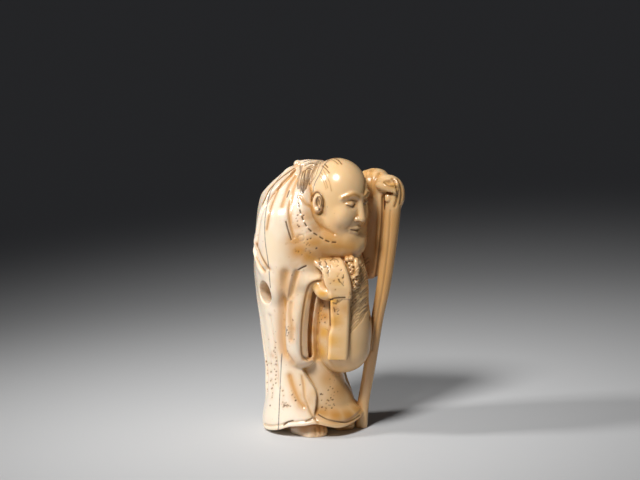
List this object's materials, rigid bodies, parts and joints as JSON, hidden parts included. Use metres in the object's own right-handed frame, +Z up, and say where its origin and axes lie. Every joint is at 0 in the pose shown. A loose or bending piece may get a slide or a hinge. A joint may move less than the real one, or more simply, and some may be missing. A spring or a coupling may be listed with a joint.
{
  "type": "netsuke",
  "caption": "Carved ivory netsuke of a standing robed figure leaning on a tall staff, with a cord channel through the back.",
  "frame": {"origin": "on the ground, under the middle of the carving's bounding box", "axes": "+Z up along the standing figure, -Y the way its body faces, +X towards its left hand and the staff"},
  "size_m": [0.0304, 0.0324, 0.0692],
  "materials": {
    "ivory": "gloss"
  },
  "bodies": {
    "root": {"figure": "ivory"}
  },
  "joints": []
}
